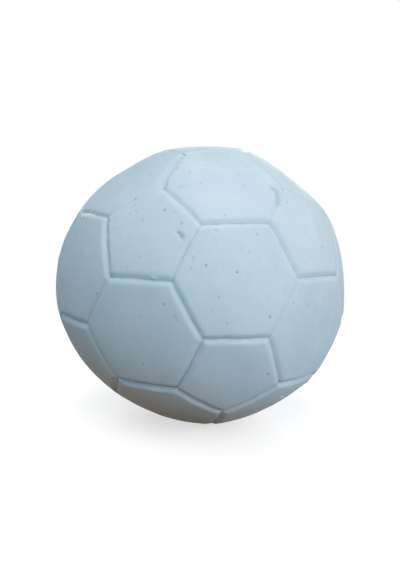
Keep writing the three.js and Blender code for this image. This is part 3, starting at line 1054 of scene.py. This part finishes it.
def foam_material():
    """Matte closed-cell foam skin: cloudy pale blue, pinholes, and paler rubbed patches, with painted shade
    in the pinholes, pores, deeper dents and seam creases.
    """
    n = Nodes("cover_foam")
    clouds = n.noise(size_mm=26.0, detail=4.0, roughness=0.55)
    flecks = n.noise(size_mm=3.2, detail=3.0, roughness=0.6)
    grain = n.noise(size_mm=0.45, detail=2.0, roughness=0.6)
    rubs = n.noise(size_mm=14.0, detail=5.0, roughness=0.7)
    tears = n.noise(size_mm=1.2, detail=3.0, roughness=0.6)
    chips = n.spread(n.attribute("chip"), low=0.15, high=0.6)
    spots = n.pores(size_mm=2.6, share=0.14)
    base = n.mix(n.spread(clouds, low=0.35, high=0.65), FOAM_SHADE, FOAM_LIGHT)
    base = n.mix(n.spread(flecks, low=0.3, high=0.7, to_high=0.5), base, FOAM_FLECK)
    base = n.stain_and_shade(base, FOAM_RUBBED, n.spread(rubs, low=0.58, high=0.72), strength=0.4)
    # Painted shade: darker along the seam creases
    base = n.stain_and_shade(base, CREASE_PAINTED_SHADE, n.attribute("crease"), strength=0.18)
    # Painted shade: darker in the small pores
    base = n.stain_and_shade(base, PORE_PAINTED_SHADE, spots, strength=0.35)
    # Painted shade: darker in the pinholes and the deeper dents
    base = n.stain_and_shade(base, PIT_PAINTED_SHADE, n.attribute("pit"), strength=0.75)
    base = n.stain_and_shade(base, FOAM_TORN, n.spread(tears, low=0.34, high=0.5), strength=chips)
    n.feed(n.shader.inputs["Base Color"], base)
    roughness = n.spread(flecks, low=0.25, high=0.75, to_low=0.66, to_high=0.82)
    n.feed(n.shader.inputs["Roughness"], roughness)
    n.shader.inputs["Specular IOR Level"].default_value = 0.25
    fine = n.bump(grain, strength=0.25, distance_mm=0.05)
    soft = n.bump(flecks, strength=0.3, distance_mm=0.12, normal=fine)
    n.feed(n.shader.inputs["Normal"], n.bump(spots, strength=-0.5, distance_mm=0.15, normal=soft))
    return n.material


def rubber_material(name, colour, worn, roughness):
    """Moulded rubber: a little talc in the fine grain, softly uneven gloss."""
    n = Nodes(name)
    talc = n.noise(size_mm=1.4, detail=5.0, roughness=0.65)
    grain = n.noise(size_mm=0.3, detail=2.0, roughness=0.5)
    base = n.mix(n.spread(talc, low=0.5, high=0.72, to_high=0.7), colour, worn)
    n.feed(n.shader.inputs["Base Color"], base)
    uneven = n.spread(talc, low=0.3, high=0.7, to_low=roughness - 0.08, to_high=roughness + 0.12)
    n.feed(n.shader.inputs["Roughness"], uneven)
    n.shader.inputs["Specular IOR Level"].default_value = 0.4
    n.feed(n.shader.inputs["Normal"], n.bump(grain, strength=0.35, distance_mm=0.06))
    return n.material


def cloth_material():
    """Coarse cotton glued over the bladder: two sets of threads that cross."""
    n = Nodes("carcass_cloth")
    threads = []
    for axis in ("X", "Z"):
        wave = n.add("ShaderNodeTexWave", wave_type="BANDS", bands_direction=axis)
        n.feed(wave.inputs["Vector"], n.place)
        wave.inputs["Scale"].default_value = THREAD_SCALE / MM
        wave.inputs["Distortion"].default_value = 0.6
        threads.append(wave.outputs["Fac"])
    weave = n.math("MULTIPLY", threads[0], threads[1])
    n.feed(n.shader.inputs["Base Color"], n.mix(weave, CLOTH_GAP, CLOTH_THREAD))
    n.feed(n.shader.inputs["Roughness"], n.spread(weave, low=0.0, high=1.0, to_low=0.95, to_high=0.85))
    n.feed(n.shader.inputs["Normal"], n.bump(weave, strength=0.6, distance_mm=0.3))
    return n.material


def floor_material():
    """White with the ball's shadow to the camera, and brown and blue in the light that it throws back."""
    n = Nodes("floor")
    n.tree.nodes.remove(n.shader)
    thrown = n.add("ShaderNodeBsdfDiffuse")
    away = n.spread(n.distance_to(BROWN_MIDDLE), *BROWN_ENDS)
    n.feed(thrown.inputs["Color"], n.mix(away, FLOOR_BROWN, FLOOR_BLUE))
    grey = n.add("ShaderNodeBsdfDiffuse")
    grey.inputs["Color"].default_value = FLOOR_GREY
    glow = n.add("ShaderNodeEmission")
    glow.inputs["Strength"].default_value = FLOOR_GLOW
    near = n.add("ShaderNodeAddShader")
    n.feed(near.inputs[0], grey.outputs[0])
    n.feed(near.inputs[1], glow.outputs[0])
    far = n.add("ShaderNodeEmission")
    shown = n.blend(n.spread(n.distance_to((0, 0, 0)), *SHADOW_ENDS), near, far)
    n.feed(n.tree.nodes["Material Output"].inputs["Surface"], n.blend(n.seen(), thrown, shown).outputs[0])
    return n.material


# Scene

def camera_side(x, y, z):
    """A place given along the camera's right, up and back, in metres from the middle of the ball."""
    right, above, back = camera_axes()
    return Vector(right * x + above * y + back * z)


def add_lamp(name, place, power, colour):
    """A soft round lamp that faces the ball."""
    light = bpy.data.lights.new(name, "AREA")
    light.shape = "DISK"
    light.size = LAMP_SIZE
    light.energy = power
    light.color = colour
    lamp = bpy.data.objects.new(name, light)
    lamp.location = place
    lamp.rotation_euler = (-place).to_track_quat("-Z", "Y").to_euler()
    bpy.context.scene.collection.objects.link(lamp)


def add_camera():
    right, above, back = camera_axes()
    camera = bpy.data.cameras.new("camera")
    camera.sensor_fit = "HORIZONTAL"
    camera.sensor_width = SENSOR_WIDTH
    camera.lens = PX_PER_MM * CAMERA_DISTANCE / FRAME_WIDTH_PX * SENSOR_WIDTH
    camera.clip_start = CAMERA_CLIP_START
    stand = bpy.data.objects.new("camera", camera)
    axes = Matrix([right, above, back]).transposed().to_4x4()
    stand.matrix_world = Matrix.Translation(Vector(camera_place() * MM)) @ axes
    bpy.context.scene.collection.objects.link(stand)
    bpy.context.scene.camera = stand


def add_floor():
    half = FLOOR_HALF_SIZE
    mesh = bpy.data.meshes.new("floor")
    corners = [(-half, -half, 0), (half, -half, 0), (half, half, 0), (-half, half, 0)]
    mesh.from_pydata(corners, [], [(0, 1, 2, 3)])
    floor = bpy.data.objects.new("floor", mesh)
    floor.location.z = cad_box[0][2]
    bpy.context.scene.collection.objects.link(floor)
    floor.data.materials.append(floor_material())


def set_world():
    """A faint light from all round, and a white backdrop where it is seen."""
    world = bpy.data.worlds.new("world")
    bpy.context.scene.world = world
    n = Tree(world)
    light = n.tree.nodes["Background"]
    light.inputs["Color"].default_value = WHITE
    light.inputs["Strength"].default_value = WORLD_STRENGTH
    backdrop = n.add("ShaderNodeBackground")
    backdrop.inputs["Color"].default_value = WHITE
    n.feed(n.tree.nodes["World Output"].inputs["Surface"], n.blend(n.seen(), light, backdrop).outputs[0])


def pinhole_places():
    """The pinholes of the photograph, and stray ones, which are faint on the side that it shows."""
    places = [(direction_at_pixel(x, y), dark) for x, y, dark in PINHOLES]
    _, _, back = camera_axes()
    for stray in unit(rng.normal(size=(STRAY_PINHOLES, 3))):
        dark = rng.uniform(*STRAY_DARKNESS)
        places.append((stray, dark if stray @ back < SHOWN_COSINE else SHOWN_SHARE * dark))
    return places


foam = foam_material()
rubbers = {name: rubber_material(name, *look) for name, look in RUBBERS.items()}

panels = all_panels()
pinholes = pinhole_places()
for panel in panels:
    near = math.cos(panel.side_length / BALL_RADIUS)
    piece = make_cover_panel(panel, [hole for hole in pinholes if hole[0] @ panel.middle > near], foam)
    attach(piece, "root")
    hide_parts("valve_hexagon" if panel.holds_valve else panel.name)

valve_axis = next(panel.middle for panel in panels if panel.holds_valve)
skin_at_valve = float(skin_radius(valve_axis[None])[0])
ring, insert = make_valve(valve_axis, skin_at_valve, rubbers["valve_rubber"], rubbers["plug_rubber"])
for piece, node, slot in ((ring, "valve_housing", "valve_rubber"), (insert, "valve_plug", "plug_rubber")):
    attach(piece, "root")
    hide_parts(node)

inner_materials = {
    "carcass": cloth_material(),
    "bladder": rubbers["bladder_rubber"],
    "valve_patch": rubbers["patch_rubber"],
}
for node, material in inner_materials.items():
    for slot in bpy.data.objects[node].material_slots:
        slot.material = material

add_camera()
add_floor()
set_world()
for name, (place, power, colour) in LAMPS.items():
    add_lamp(name, camera_side(*place), power, colour)
bpy.context.scene.view_settings.view_transform = "Standard"
